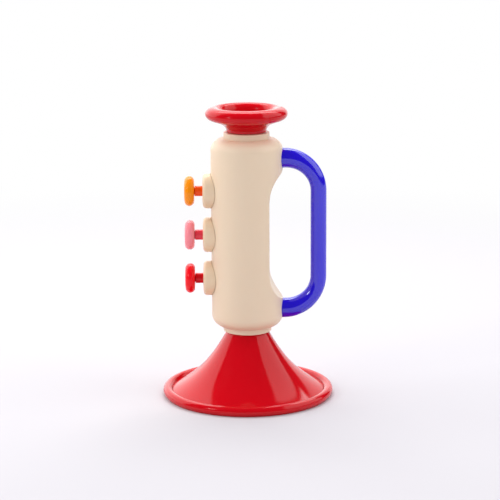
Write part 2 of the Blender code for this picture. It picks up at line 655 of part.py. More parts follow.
def least_gap(points):
    """The least distance between two stretches of the wire that don't follow each other."""
    apart = TURN_POINTS // 2
    distances = []
    for place, point in enumerate(points):
        distances += [(point - other).length for other in points[place + apart:]]
    return min(distances) - SPRING_WIRE


def make_spring(which, height, finish):
    points = spring_points()
    wire = bpy.data.curves.new("return_spring_" + which, "CURVE")
    wire.dimensions = "3D"
    wire.bevel_depth = SPRING_WIRE / 2
    wire.bevel_resolution = 1
    wire.use_fill_caps = True
    line = wire.splines.new("POLY")
    line.points.add(len(points) - 1)
    for target, point in zip(line.points, points):
        target.co = (*point, 1)
    wire.materials.append(finish)
    made = bpy.data.objects.new("return_spring_" + which, wire)
    made.location.z = height
    bpy.context.scene.collection.objects.link(made)
    print(f"return_spring_{which}: least gap to itself {least_gap(points) * 1000:.2f} mm")


# Reed chest, in a row along X from the button side: cell box, reed plate, wind channel

def at_chest_screws(radius, low, high):
    """One rod along X at each chest screw."""
    one = rod(radius, low, high, SMALL_SIDES, ALONG_X)
    return [moved(one, y=y, z=z) for y, z in CHEST_SCREWS]


def make_cell_box(finish):
    low = (-CHEST_FACE, -CHEST_HALF, CHEST_BOTTOM)
    box = piece("reed_cell_box", block(low, (CHEST_BACK, CHEST_HALF, CHEST_TOP)), finish)
    inner = CHEST_HALF - CHEST_WALL
    cell = block((CHEST_WALL - CHEST_FACE, -inner, -CELL_HALF), (CHEST_BACK + OVERRUN, inner, CELL_HALF))
    port = rod(PORT_RADIUS, -CHEST_FACE - OVERRUN, 0, SMALL_SIDES, ALONG_X)
    cells = helper("cells", together([moved(cell, z=z) for z in BUTTONS.values()]))
    ports = helper("ports", together([moved(port, z=z) for z in BUTTONS.values()]))
    deep = chest_screw_tip() - CHEST_SCREW_RADIUS
    pilots = at_chest_screws(CHEST_SCREW_RADIUS + GAP, deep, CHEST_BACK + OVERRUN)
    combine(box, "DIFFERENCE", cells, ports, helper("cell_box_pilots", together(pilots)))


def rivet_place(height):
    """Height of a reed's rivet, in the middle of its base, below its slot."""
    return height - SLOT_LENGTH / 2 - REED_BASE_LENGTH / 2


def make_reed_plate(finish):
    low = (PLATE_FRONT, -CHEST_HALF, CHEST_BOTTOM)
    plate = piece("reed_plate", block(low, (PLATE_BACK, CHEST_HALF, CHEST_TOP)), finish)
    past, before = PLATE_BACK + OVERRUN, PLATE_FRONT - OVERRUN
    half_width, half_length = SLOT_WIDTH / 2, SLOT_LENGTH / 2
    slot = block((before, -half_width, -half_length), (past, half_width, half_length))
    rivet = rod(RIVET_RADIUS + GAP, before, past, SMALL_SIDES, ALONG_X)
    cuts = [moved(slot, z=z) for z in BUTTONS.values()]
    cuts += [moved(rivet, z=rivet_place(z)) for z in BUTTONS.values()]
    cuts += at_chest_screws(CHEST_SCREW_RADIUS + GAP, before, past)
    combine(plate, "DIFFERENCE", helper("plate_cuts", together(cuts)))


def make_reed(which, height, finish):
    """A brass tongue on a wider base, which is riveted to the plate below the slot."""
    face = PLATE_BACK + GAP
    root, tip = -SLOT_LENGTH / 2, REED_LENGTH - SLOT_LENGTH / 2
    base, tongue = REED_BASE_WIDTH / 2, REED_WIDTH / 2
    half_outline = [(base, root - REED_BASE_LENGTH), (base, root), (tongue, root), (tongue, tip)]
    outline = half_outline + [(-y, z) for y, z in reversed(half_outline)]
    points, faces = prism(outline, face, face + REED_THICKNESS, "Z")
    shape = [Vector((x, y, z)) for y, z, x in points], faces
    reed = piece("reed_" + which, shape, finish, height)
    hole = rod(RIVET_RADIUS + GAP, face - OVERRUN, face + OVERRUN, SMALL_SIDES, ALONG_X)
    hole = moved(hole, z=rivet_place(0.0))
    combine(reed, "DIFFERENCE", helper("reed_hole_" + which, hole, height))


def make_rivet(which, height, finish):
    outer = PLATE_BACK + 2 * GAP + REED_THICKNESS
    inner = PLATE_FRONT - GAP
    half = [(0, outer + RIVET_HEAD_HEIGHT), (RIVET_HEAD_RADIUS, outer + RIVET_HEAD_HEIGHT)]
    half += [(RIVET_HEAD_RADIUS, outer), (RIVET_RADIUS, outer), (RIVET_RADIUS, inner)]
    half += [(RIVET_HEAD_RADIUS, inner), (RIVET_HEAD_RADIUS, inner - RIVET_HEAD_HEIGHT)]
    rivet = turned(half + [(0, inner - RIVET_HEAD_HEIGHT)], SMALL_SIDES, ALONG_X)
    piece("reed_rivet_" + which, moved(rivet, z=rivet_place(0.0)), finish, height)


def make_wind_channel(finish):
    """A duct along the reed plate with a plenum over the chest and an inlet for the blow tube."""
    left, right, half, wall = -PLENUM_REACH, CHANNEL_BACK, CHEST_HALF, CHANNEL_WALL
    front = CHANNEL_FRONT
    outline = [(left, PLENUM_BOTTOM), (front, PLENUM_BOTTOM), (front, CHEST_BOTTOM)]
    outline += [(right, CHEST_BOTTOM), (right, PLENUM_TOP), (left, PLENUM_TOP)]
    channel = piece("wind_channel", prism(outline, -half, half, "Y"), finish)
    low = (left + wall, PLENUM_BOTTOM + wall)
    open_side, top, bottom = front - OVERRUN, CHEST_TOP - wall, CHEST_BOTTOM + wall
    hollow = [low, (front + wall, low[1]), (front + wall, top), (open_side, top)]
    hollow += [(open_side, bottom), (right - wall, bottom)]
    hollow += [(right - wall, PLENUM_TOP - wall), (low[0], PLENUM_TOP - wall)]
    inside = helper("channel_inside", prism(hollow, wall - half, half - wall, "Y"))
    post_radius = CHEST_SCREW_HEAD_RADIUS + GAP + CHEST_POST_WALL
    posts = helper("channel_posts", together(at_chest_screws(post_radius, front - 2 * OVERRUN, right)))
    combine(inside, "DIFFERENCE", posts)
    socket = TUBE_RADIUS + GAP
    ring = [(0, PLENUM_TOP - wall / 2), (socket + INLET_WALL, PLENUM_TOP - wall / 2)]
    ring += [(socket + INLET_WALL, PLENUM_TOP + INLET_HEIGHT), (0, PLENUM_TOP + INLET_HEIGHT)]
    inlet = helper("channel_inlet", turned(ring, SMALL_SIDES))
    bore = rod(TUBE_RADIUS - TUBE_WALL, PLENUM_TOP - PLENUM_HEIGHT / 2, PLENUM_TOP + OVERRUN, SMALL_SIDES)
    seat = rod(socket, PLENUM_TOP, PLENUM_TOP + INLET_HEIGHT + OVERRUN, SMALL_SIDES)
    holes = at_chest_screws(CHEST_SCREW_RADIUS + GAP, front - OVERRUN, right + OVERRUN)
    head_room = CHEST_SCREW_HEAD_HEIGHT + 2 * GAP
    heads = at_chest_screws(CHEST_SCREW_HEAD_RADIUS + GAP, right - head_room, right + OVERRUN)
    combine(channel, "DIFFERENCE", inside)
    combine(channel, "UNION", inlet)
    cuts = {"bore": bore, "seat": seat, "holes": together(holes), "heads": together(heads)}
    for name, shape in cuts.items():
        combine(channel, "DIFFERENCE", helper("channel_" + name, shape))


def chest_screw_seat():
    return CHANNEL_BACK - CHEST_SCREW_HEAD_HEIGHT - GAP


def chest_screw_tip():
    return chest_screw_seat() - CHEST_SCREW_LENGTH


def make_chest_screws(finish):
    seat, tip, radius = chest_screw_seat(), chest_screw_tip(), CHEST_SCREW_RADIUS
    top = seat + CHEST_SCREW_HEAD_HEIGHT
    outline = [(0, tip), (radius, tip + radius), (radius, seat), (CHEST_SCREW_HEAD_RADIUS, seat)]
    outline += [(CHEST_SCREW_HEAD_RADIUS, top), (0, top)]
    screw = turned(outline, SMALL_SIDES, ALONG_X)
    for number, (y, z) in enumerate(CHEST_SCREWS, 1):
        piece(f"chest_screw_{number}", moved(screw, y=y, z=z), finish)


def make_all():
    cream = plastic("cream_satin_plastic", (0.82, 0.66, 0.50), 0.45)
    tan = plastic("tan_satin_plastic", (0.74, 0.53, 0.35), 0.45)
    red = plastic("red_gloss_plastic", (0.60, 0.008, 0.012), 0.15)
    blue = plastic("blue_gloss_plastic", (0.045, 0.026, 0.66), 0.18)
    grey = plastic("grey_plastic", (0.35, 0.36, 0.38), 0.5)
    brass = plastic("brass", (0.72, 0.50, 0.18), 0.3, 1.0)
    steel = plastic("zinc_plated_steel", (0.60, 0.60, 0.62), 0.3, 1.0)
    rubber = plastic("soft_rubber", (0.05, 0.05, 0.05), 0.8)
    colours = {
        "top": ((0.95, 0.26, 0.012), (0.76, 0.09, 0.006)),
        "middle": ((0.88, 0.22, 0.25), (0.57, 0.045, 0.07)),
        "bottom": ((0.78, 0.016, 0.02), (0.45, 0.003, 0.006)),
    }
    make_body(cream)
    make_shell_screws(steel)
    make_bell(red)
    make_blow_tube(make_mouthpiece(red), grey)
    make_handle(blue)
    for which, height in BUTTONS.items():
        cap_colour, stem_colour = colours[which]
        make_cap(which, height, plastic("cap_plastic_" + which, cap_colour, 0.3))
        make_stem(which, height, plastic("stem_plastic_" + which, stem_colour, 0.35))
        make_guide(which, height, tan)
        make_pallet(which, height, rubber)
        make_spring(which, height, steel)
        make_reed(which, height, brass)
        make_rivet(which, height, brass)
    make_cell_box(grey)
    make_reed_plate(steel)
    make_wind_channel(grey)
    make_chest_screws(steel)


clear_scene()
make_all()
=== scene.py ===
import math

import bmesh
import bpy
from mathutils import Matrix, Quaternion, Vector


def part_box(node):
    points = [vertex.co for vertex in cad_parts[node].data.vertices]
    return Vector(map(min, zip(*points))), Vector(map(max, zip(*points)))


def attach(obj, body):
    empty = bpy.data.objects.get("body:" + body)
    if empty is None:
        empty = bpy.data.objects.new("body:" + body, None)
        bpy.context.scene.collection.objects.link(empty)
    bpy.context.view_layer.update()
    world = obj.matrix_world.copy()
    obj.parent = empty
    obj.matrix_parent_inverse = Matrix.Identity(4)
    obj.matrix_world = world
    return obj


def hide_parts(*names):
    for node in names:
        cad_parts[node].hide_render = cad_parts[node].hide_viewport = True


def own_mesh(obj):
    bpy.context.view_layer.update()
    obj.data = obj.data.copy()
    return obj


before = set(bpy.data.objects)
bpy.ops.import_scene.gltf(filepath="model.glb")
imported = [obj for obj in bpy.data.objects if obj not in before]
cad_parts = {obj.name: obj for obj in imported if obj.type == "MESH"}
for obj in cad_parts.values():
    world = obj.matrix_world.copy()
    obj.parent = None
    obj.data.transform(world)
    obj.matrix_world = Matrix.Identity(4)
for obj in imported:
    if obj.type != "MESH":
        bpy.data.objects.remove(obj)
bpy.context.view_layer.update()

# A toy trumpet that stands on its bell. Outlines are in millimetres and become metres in mesh_piece.
# The handle is on the +X side and the buttons are on the -X side.
MM = 0.001
CREASE = 32  # degrees from which the edge between two faces stays sharp
MERGE, SPECK, TOUCH = 0.002, 0.001, 1e-6  # distances at which points merge, faces go and places are equal
GAP = 0.3  # between neighbouring mouldings
HAIR, FINE, SOFT, FULL = 0.2, 0.3, 0.4, 0.5  # roundings of edges
X, Z = 0, 2  # axes of a box's corners


def middle_of(node, axis):
    """The middle of a CAD node's box along one axis, in millimetres."""
    low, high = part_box(node)
    return (low[axis] + high[axis]) / 2 / MM


# Heights, from the floor up
BELL_HIGH = 46.9
BODY_LOW = BELL_HIGH + 4.2
BODY_HIGH = BODY_LOW + 135.85
COLLAR_HIGH = BODY_HIGH + 4.3
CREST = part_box("mouthpiece")[1].z / MM

# Body
BODY_ROUND, BODY_WALL = 25.5, 2.2
LOW_COLLAR, HIGH_COLLAR = 17.3, 16.3
LOW_SHOULDER, HIGH_SHOULDER = 8.7, 8.4
SHOULDER_ROW = 3.0  # from each shoulder to the row of points next to it
COLLAR_EASE = 0.8
BELL_HOLE, MOUTH_HOLE = 12.3, 11.3
PARTING = GAP / 2  # from the parting plane to each moulding
PARTING_EASE, INSIDE_EASE = 0.22, 0.02  # rounding of the mouldings' parting edges
EASE_BULGE = 0.3  # share of its size by which such a rounding cuts off the corner

# Scoop behind the grip: a flat whose ends bend out into the round
SCOOP_FLAT, SCOOP_BEND = 15.8, 26.0
SCOOP_LOW, SCOOP_HIGH = BODY_LOW + 14.5, BODY_HIGH - 17.75
SCOOP_EASE, SCOOP_INSIDE_EASE = 1.2, 0.1  # rounding of the scoop's long edges
SCOOP_BLEND, BLEND_ROWS = 1.6, (1.0, 0.66, 0.33)  # rounding of the scoop's ends, and rows past them
SCOOP_LEAST = 0.2  # half the width of the narrowest flat
BEND_ROWS, FLAT_ROWS = 24, 8
FLAT_STEPS, EDGE_STEPS, ROUND_STEPS = 8, 6, 84
FAR, TRIM_PAST = 32.0, 8.0  # past the body's round, and past the middle of the scoop's bends

# Bosses, ribs and holes of the body
BOSS_ROUND, POST_ROUND = 4.0, 3.4
WELL_ROUND, WELL_SEAT = 2.9, 9.3
PILOT_ROUND, PILOT_FROM, PILOT_TO = 1.5, -10.2, 12.0
GUIDE_HOLE, GUIDE_HOLE_END = 7.3, -18.0
RIB_HALF, RIB_EDGE = 0.9, 2.5
END_RIB_FROM, END_RIB_TO, END_RIB_EDGE = -7.0, 8.1, 7.5

# Screws of the body
SCREWS = [(middle_of(f"shell_screw_{number}", X), middle_of(f"shell_screw_{number}", Z))
          for number in range(1, 7)]
SCREW_TIP, SCREW_SHANK = [(0, -8.7), (0.5, -8.2), (1.2, -7.0)], 1.2
HEAD_ROUND, HEAD_HEIGHT, HEAD_SWEEP = 2.5, 1.8, 84
CROSS_LONG, CROSS_WIDE = 1.5, 0.32  # halves of the cross's arms
CROSS_FLOOR, CROSS_TOP = 0.8, 3.0  # above the seat
CROSS_FIRST, CROSS_NEXT = 17, 41  # degrees that the crosses are turned by

# Bell
BELL_ROUND, BELL_NECK, BELL_WALL, BEAD = 61.3, 14.8, 2.4, 3.35
BEAD_FROM, BEAD_TO = 176, -60  # degrees round the rolled rim
GROOVE_ROUND, GROOVE_PLACE = BELL_ROUND - 2 * BEAD, 4.5
FLARE_STRAIGHT, FLARE_POWER = 0.628, 3.35
BELL_FOOT = 6.0  # from the rim's outside to the inner edge of its flat foot
BELL_INSIDE = 0.85  # share of the cone that the inside follows
BELL_BORE, BELL_THROAT = 9.6, 2.0  # radius of the bore, and rounding of its lower end
BELL_SPIGOT, BELL_FLANGE, BELL_FLANGE_HIGH = 12.0, 14.5, 2.5
CONE_STEPS, INSIDE_STEPS = 48, 30

# Mouthpiece
RIM_ROUND, RIM_WIDTH, RIM_HEIGHT, RIM_CREST = 29.1, 11.8, 9.7, 5.19
NECK_TOP, NECK_BASE, NECK_SWEEP, NECK_DROP = 20.9, 14.0, 65, 1.0
CUP_DEPTH, BORE, TUBE_SOCKET = 12.5, 4.0, 5.3
MOUTH_SPIGOT, MOUTH_FLANGE, MOUTH_FLANGE_HIGH = 11.0, 13.5, 2.7

# Handle
ARM_LOW, ARM_HIGH = BODY_LOW + 12.45, BODY_HIGH - 14.35
GRIP_X, HANDLE_BEND = 50.9, 23.8
ARM_ROUND, GRIP_ROUND, FLANGE_ROUND = 7.2, 5.7, 8.3
FLANGE_IN, FLANGE_OUT, FLANGE_STEP = 17.0, 19.4, 0.01
ARM_STEPS, BEND_STEPS, GRIP_STEPS = 7, 32, 6

# Buttons. The points of an outline are radius, place along X from the trumpet's axis, and rounding.
CAP_ROUND, CAP_HALF, CAP_PLACE = 10.7, 3.5, -40.8
CAP_SOCKET, CAP_SOCKET_END = 2.9, -41.6
STEM = [
    (0, -41.3), (2.6, -41.3, HAIR), (2.6, -37.0),  # tenon in the cap
    (3.7, -37.0, FINE), (3.7, -18.08),  # shaft in the guide
    (6.4, -18.08, HAIR), (6.4, -16.08, HAIR),  # collar between the guide and the spring
    (2.2, -16.08), (2.2, -3.0, 0.1),  # rod inside the spring
    (1.4, -3.0), (1.4, 0.1), (2.4, 0.1, HAIR), (2.4, 1.1, SOFT), (0, 1.1),  # neck and button of the pallet
]
GUIDE = [
    (4.0, -31.3, SOFT), (12.4, -31.3, 3.2),  # outer face
    (12.4, None), (10.5, None), (8.5, None), (7.0, None),  # seat on the body's round
    (7.0, -20.98), (9.5, -20.98, HAIR), (9.5, -18.38, FINE), (4.0, -18.38),  # lip behind the body's wall
]
GUIDE_SEAT = 25.8
COIL_ROUND, WIRE_ROUND = 5.0, 0.4
SPRING_FROM, SPRING_TO, SPRING_TURNS, SPRING_SIDES = -15.78, -5.3, 4, 24

# Finishes
# Noises of the colour and the gloss: size in millimetres, detail and roughness. The relief's has no size.
DRIFT, SMEAR, GRAIN = (28, 2.0, 0.5), (6, 3.0, 0.6), (1.0, 0.4)
SMEAR_RANGE, GLOSS_SPREAD = (0.3, 0.7), 0.12  # noise between which the gloss varies, and by what share
SKIN_REACH, SKIN_COLOUR = 1.5, (1.0, 0.5, 0.3)  # how deep light goes under a soft skin, and in what colour
SATIN = {"roughness": 0.38, "grain": 0.45, "depth": 0.006, "soft": 0.06}
GLOSS = {"grain": 3.0, "depth": 0.001}
CAP_GLOSS = {"roughness": 0.15, "grain": 2.0, "depth": 0.0005, "shine": 0.35}
STEM_GLOSS = {"roughness": 0.18, "grain": 2.0, "depth": 0.0005, "shine": 0.35}
METAL = {"depth": 0.002, "metallic": 1.0}
# Each button's cap and stem: name, colour and the colour that it drifts to
BUTTONS = {
    "top": (("orange", "#FF9608", "#FF9206"), ("vermilion", "#FF5F04", "#FB5B03")),
    "middle": (("pink", "#FF929A", "#FC8E97"), ("crimson", "#F44A5C", "#F04658")),
    "bottom": (("scarlet", "#FC0C1E", "#F80A1B"), ("dark_red", "#DA0416", "#D60314")),
}
BUTTON_HEIGHTS = {which: middle_of("button_cap_" + which, Z) for which in BUTTONS}

# Light. Directions are round from the camera's side towards the handle, and up, in degrees.
WHITE = (1, 1, 1, 1)
FLOOR_REACH, FLOOR_COLOUR = 4000, "#D1CFD0"
FLOOR_FADE = (0.3, 0.85)  # metres from the trumpet's axis over which the floor turns plain white
ROOM_DIM, ROOM_FILL, FILL_COLOUR = 0.05, 0.78, "#F6F5FF"  # as gloss mirrors it, and as it lights the colours
# What gloss mirrors: softboxes, each with the directions of its corners and its brightness
PANELS = [
    (((-96, -25), (-94, 32), (-109, 49), (-133, 60), (-185, 48), (-185, -25)), 1.9),  # on the buttons' side
    (((50, 8), (54, 40), (131, 66), (136, 47), (118, 8)), 1.7),  # on the handle's side
    (((138, 36), (150, 66), (210, 66), (215, 36)), 4.5),  # above and behind
    (((143, -25), (146, 42), (188, 46), (188, -25)), 1.2),  # backdrop
    (((162, 12), (162, 28), (198, 28), (198, 12)), 1.9),  # lamp's glow on the backdrop
]
PANEL_SOFT = 0.03  # half the width of the panels' soft edges
# Lamps: name, direction, distance and size in metres, brightness, and whether gloss mirrors them
LAMPS = [
    ("lamp_left", -100, 40, 1.2, (0.9, 0.9), 2.2, False),
    ("lamp_right", 80, 40, 1.2, (0.7, 0.9), 1.8, False),
    ("lamp_over", 180, 58, 1.0, (0.9, 0.4), 6.0, False),
    ("lamp_front", -53, 26, 1.2, (0.2, 0.2), 12.0, True),
]
LAMP_AIM = 0.1  # height that they face

# Camera: millimetres of the lens, metres, and degrees down, aside and of roll
LENS, CAMERA_AWAY, CAMERA_AIM = 136.8, 1.357, 0.1059
CAMERA_DOWN, CAMERA_ASIDE, CAMERA_ROLL = 12.5, 0.088, -0.33


# Outlines

def shares(steps):
    """Equal steps from 0 to 1."""
    return [step / steps for step in range(steps + 1)]


def arc(centre, across, up, start, end, steps):
    """Points along an ellipse, from start to end in degrees."""
    angles = [math.radians(start + (end - start) * share) for share in shares(steps)]
    return [(centre[0] + across * math.cos(angle), centre[1] + up * math.sin(angle)) for angle in angles]


def bar(radius, low, high):
    """The outline of a plain round bar."""
    return [(0, low), (radius, low), (radius, high), (0, high)]


def curve(start, corner, end, share):
    """A point of the soft curve that leaves start towards the corner and comes from there to end."""
    return start.lerp(corner, share).lerp(corner.lerp(end, share), share)


def eased(outline, steps=4):
    """Rounds each corner of a closed outline that carries a third number, the size of its rounding."""
    made = []
    for place, point in enumerate(outline):
        if len(point) == 2:
            made.append(Vector(point))
            continue
        corner = Vector(point[:2])
        sides = (Vector(outline[(place + way) % len(outline)][:2]) - corner for way in (-1, 1))
        start, end = (corner + side.normalized() * min(point[2], side.length / 2) for side in sides)
        made += [curve(start, corner, end, share) for share in shares(steps)]
    return made


# Meshes

def placed(name, data):
    made = bpy.data.objects.new(name, data)
    bpy.context.scene.collection.objects.link(made)
    return made


def smooth(mesh):
    mesh.shade_smooth()
    mesh.set_sharp_from_angle(angle=math.radians(CREASE))


def mesh_piece(name, points, faces):
    """A piece from points in millimetres, with its seams closed and its faces turned outwards."""
    mesh = bpy.data.meshes.new(name)
    mesh.from_pydata([Vector(point) * MM for point in points], [], faces)
    shaping = bmesh.new()
    shaping.from_mesh(mesh)
    bmesh.ops.remove_doubles(shaping, verts=shaping.verts, dist=MM * MERGE)
    bmesh.ops.dissolve_degenerate(shaping, edges=shaping.edges, dist=MM * SPECK)
    bmesh.ops.recalc_face_normals(shaping, faces=shaping.faces)
    shaping.to_mesh(mesh)
    shaping.free()
    smooth(mesh)
    return placed(name, mesh)


def grid_faces(rows, columns, wrap_rows, wrap_columns):
    """The faces between rows of points."""
    faces = []
    for row in range(rows if wrap_rows else rows - 1):
        after = (row + 1) % rows
        for column in range(columns if wrap_columns else columns - 1):
            beside = (column + 1) % columns
            faces.append([row * columns + column, row * columns + beside,
                          after * columns + beside, after * columns + column])
    return faces


def turned(name, outline, sides, along="Z", place=(0, 0, 0), seat=0.0):
    """An outline of (radius, place) turned about an axis. A point whose place is None lies on the body's
    side, a round of the radius seat about the Z axis."""
    points, faces, rings = [], [], []
    given = [(point[0], -seat) + tuple(point[2:]) if point[1] is None else point for point in outline]
    for radius, level in eased(given):
        count = sides if radius > TOUCH else 1
        seated = seat and abs(level + seat) < TOUCH
        rings.append(range(len(points), len(points) + count))
        for step in range(count):
            angle = math.tau * step / sides
            u, v = radius * math.cos(angle), radius * math.sin(angle)
            reach = -math.sqrt(seat**2 - u * u) if seated else level
            turn = {"X": (reach, u, v), "Y": (u, reach, v), "Z": (u, v, reach)}[along]
            points.append(Vector(turn) + Vector(place))
    for number, ring in enumerate(rings):
        following = rings[(number + 1) % len(rings)]
        if len(ring) == len(following) == 1:
            continue
        for step in range(sides):
            pairs = [(ring, step), (ring, step + 1), (following, step + 1), (following, step)]
            faces.append(list(dict.fromkeys(row[n % len(row)] for row, n in pairs)))
    return mesh_piece(name, points, faces)


def swept(name, centres, across, sides):
    """A round bar along centres, each (point, radius), with a side direction for each."""
    points = []
    for number, (centre, radius) in enumerate(centres):
        before, after = centres[max(number - 1, 0)][0], centres[min(number + 1, len(centres) - 1)][0]
        way = (after - before).normalized()
        side = across[number] - way * across[number].dot(way)
        side.normalize()
        up = way.cross(side)
        for step in range(sides):
            angle = math.tau * step / sides
            points.append(centre + (side * math.cos(angle) + up * math.sin(angle)) * radius)
    faces = grid_faces(len(centres), sides, False, True)
    faces += [list(range(sides)), list(range(len(points) - sides, len(points)))]
    return mesh_piece(name, points, faces)


def prism(name, outline, low, high, along):
    """An outline drawn out along Y or Z."""
    count = len(outline)
    points = [(u, level, v) if along == "Y" else (u, v, level) for level in (low, high) for u, v in outline]
    faces = [list(range(count)), list(range(count, 2 * count))]
    faces += [[n, (n + 1) % count, count + (n + 1) % count, count + n] for n in range(count)]
    return mesh_piece(name, points, faces)


def joined(name, pieces):
    """Several helper meshes as one."""
    shaping = bmesh.new()
    for one in pieces:
        shaping.from_mesh(one.data)
    mesh = bpy.data.meshes.new(name)
    shaping.to_mesh(mesh)
    shaping.free()
    for one in pieces:
        bpy.data.objects.remove(one)
    return placed(name, mesh)


def carved(piece, steps):
    """Applies a list of (operation, helper) to a piece and removes the helpers. A helper that is marked as
    crossing has parts that run through one another."""
    for operation, helper in steps:
        modifier = piece.modifiers.new(helper.name, "BOOLEAN")
        modifier.operation, modifier.solver, modifier.object = operation, "EXACT", helper
        modifier.use_self = helper.get("crossing", False)
    evaluated = piece.evaluated_get(bpy.context.evaluated_depsgraph_get())
    mesh = bpy.data.meshes.new_from_object(evaluated)
    piece.modifiers.clear()
    piece.data = mesh
    for _, helper in steps:
        bpy.data.objects.remove(helper)
    smooth(mesh)
    return piece


# Body

def scoop_at(height, inset):
    """How far from the axis the scoop cuts the body at a height. It fades out softly past the round."""
    bend, plane = SCOOP_BEND + inset, SCOOP_FLAT - inset
    round_here = BODY_ROUND - inset
    low, high = SCOOP_LOW - inset, SCOOP_HIGH + inset
    if height <= low or height >= high:
        return round_here
    off = max(low + bend - height, height - (high - bend), 0.0)
    cut = plane + bend - math.sqrt(max(bend**2 - off**2, 0.0))
    near = max(SCOOP_BLEND - abs(round_here - cut), 0.0) / SCOOP_BLEND
    return min(round_here, cut) - near**2 * SCOOP_BLEND / 4


def scoop_heights():
    """Heights of the body's rows, close together where the scoop runs out into the round."""
    deepest = math.acos(SCOOP_FLAT / BODY_ROUND)
    cuts = [BODY_ROUND + SCOOP_BLEND * share for share in BLEND_ROWS]
    cuts += [BODY_ROUND * math.cos(deepest * share) for share in shares(BEND_ROWS)[1:]]
    offs = [math.sqrt(SCOOP_BEND**2 - (SCOOP_FLAT + SCOOP_BEND - cut) ** 2) for cut in cuts]
    low = [SCOOP_LOW + SCOOP_BEND - off for off in offs]
    high = [SCOOP_HIGH - SCOOP_BEND + off for off in reversed(offs)]
    between = [low[-1] + (high[0] - low[-1]) * share for share in shares(FLAT_ROWS)[1:-1]]
    return low + between + high


def body_rows():
    """The body's outline, outside and then inside, as radius, height and inset."""
    low, high = BODY_LOW + LOW_SHOULDER, BODY_HIGH - HIGH_SHOULDER
    across_low, across_high = BODY_ROUND - LOW_COLLAR, BODY_ROUND - HIGH_COLLAR
    heights = [low + SHOULDER_ROW, *scoop_heights(), high - SHOULDER_ROW]
    outside = [(BELL_HOLE, BELL_HIGH + GAP, HAIR), (LOW_COLLAR, BELL_HIGH + GAP, COLLAR_EASE)]
    outside += arc((LOW_COLLAR, low), across_low, LOW_SHOULDER, -90, 0, steps=16)
    outside += [(BODY_ROUND, height) for height in heights]
    outside += arc((HIGH_COLLAR, high), across_high, HIGH_SHOULDER, 0, 90, steps=16)
    outside += [(HIGH_COLLAR, COLLAR_HIGH, COLLAR_EASE), (MOUTH_HOLE, COLLAR_HIGH, HAIR)]
    inside = [(MOUTH_HOLE, BODY_HIGH - BODY_WALL)]
    inside += arc((HIGH_COLLAR, high), across_high - BODY_WALL, HIGH_SHOULDER - BODY_WALL, 90, 0, steps=8)
    inside += [(BODY_ROUND - BODY_WALL, height) for height in reversed(heights[::2])]
    inside += arc((LOW_COLLAR, low), across_low - BODY_WALL, LOW_SHOULDER - BODY_WALL, 0, -90, steps=8)
    inside += [(BELL_HOLE, BODY_LOW + BODY_WALL)]
    rows = [(radius, height, 0.0) for radius, height in eased(outside)]
    return rows + [(radius, height, BODY_WALL) for radius, height in inside]


def half_section(radius, height, inset):
    """One half of the body's cross-section at a height, from the handle's side to the buttons' side. Each
    has as many points as the next, so a row without a flat has them all where its flat would be."""
    ease = INSIDE_EASE if inset else PARTING_EASE
    start = PARTING + ease
    cut = scoop_at(height, inset)
    edge = math.sqrt(max(radius**2 - cut**2, 0.0)) if cut < radius else 0.0
    flat = edge > start + SCOOP_LEAST
    rear = math.sqrt(radius**2 - start**2)
    front = cut if flat else rear
    bulge = ease * EASE_BULGE
    points = [(front - ease, PARTING), (front - bulge, PARTING + bulge), (front, start)]
    if flat:
        soft = min(SCOOP_INSIDE_EASE if inset else SCOOP_EASE, (edge - start) / 2)
        first = math.asin(min(edge / radius, 1.0)) + soft / radius
        points += [(front, start + (edge - soft - start) * share) for share in shares(FLAT_STEPS)[1:]]
        lead, corner = Vector((front, edge - soft)), Vector((front, edge))
        landing = Vector((radius * math.cos(first), radius * math.sin(first)))
        points += [tuple(curve(lead, corner, landing, share)) for share in shares(EDGE_STEPS)[1:-1]]
    else:
        first = math.asin(start / radius)
        points += [(front, start)] * (FLAT_STEPS + EDGE_STEPS - 1)
    last = math.pi - math.asin(start / radius)
    points += arc((0, 0), radius, radius, math.degrees(first), math.degrees(last), ROUND_STEPS)
    return points + [(bulge - rear, PARTING + bulge), (ease - rear, PARTING)]


def body_half(name, side):
    """The bare wall of one half. Its side is -1 at the front and 1 at the rear."""
    rows = body_rows()
    sections = [half_section(*row) for row in rows]
    columns = len(sections[0])
    points = [(x, side * y, height) for (_, height, _), section in zip(rows, sections) for x, y in section]
    faces = grid_faces(len(rows), columns, True, False)
    faces += [[row * columns + column for row in range(len(rows))] for column in (0, columns - 1)]
    return mesh_piece(name, points, faces)


def wall_core():
    """A solid that fills the body to the middle of its wall, to trim what stands inside."""
    middle = BODY_WALL / 2
    outline = [(0, BODY_LOW + middle)]
    outline += arc((LOW_COLLAR, BODY_LOW + LOW_SHOULDER), BODY_ROUND - middle - LOW_COLLAR,
                   LOW_SHOULDER - middle, -90, 0, steps=8)
    outline += arc((HIGH_COLLAR, BODY_HIGH - HIGH_SHOULDER), BODY_ROUND - middle - HIGH_COLLAR,
                   HIGH_SHOULDER - middle, 0, 90, steps=8)
    return turned("core", outline + [(0, BODY_HIGH - middle)], sides=96)


def scoop_trim():
    """What the scoop leaves outside the middle of the flat wall."""
    middle = BODY_WALL / 2
    bend = SCOOP_BEND + middle
    bend_x = SCOOP_FLAT - middle + bend
    past = bend_x + TRIM_PAST
    low, high = SCOOP_LOW - middle, SCOOP_HIGH + middle
    outline = [(past, low), *arc((bend_x, low + bend), bend, bend, 270, 180, steps=12)]
    outline += [*arc((bend_x, high - bend), bend, bend, 180, 90, steps=12), (past, high)]
    return prism("trim", outline, -FAR, FAR, "Y")


def trimmed(piece):
    """Keeps what stands inside the body's walls."""
    return carved(piece, [("INTERSECT", wall_core()), ("DIFFERENCE", scoop_trim())])


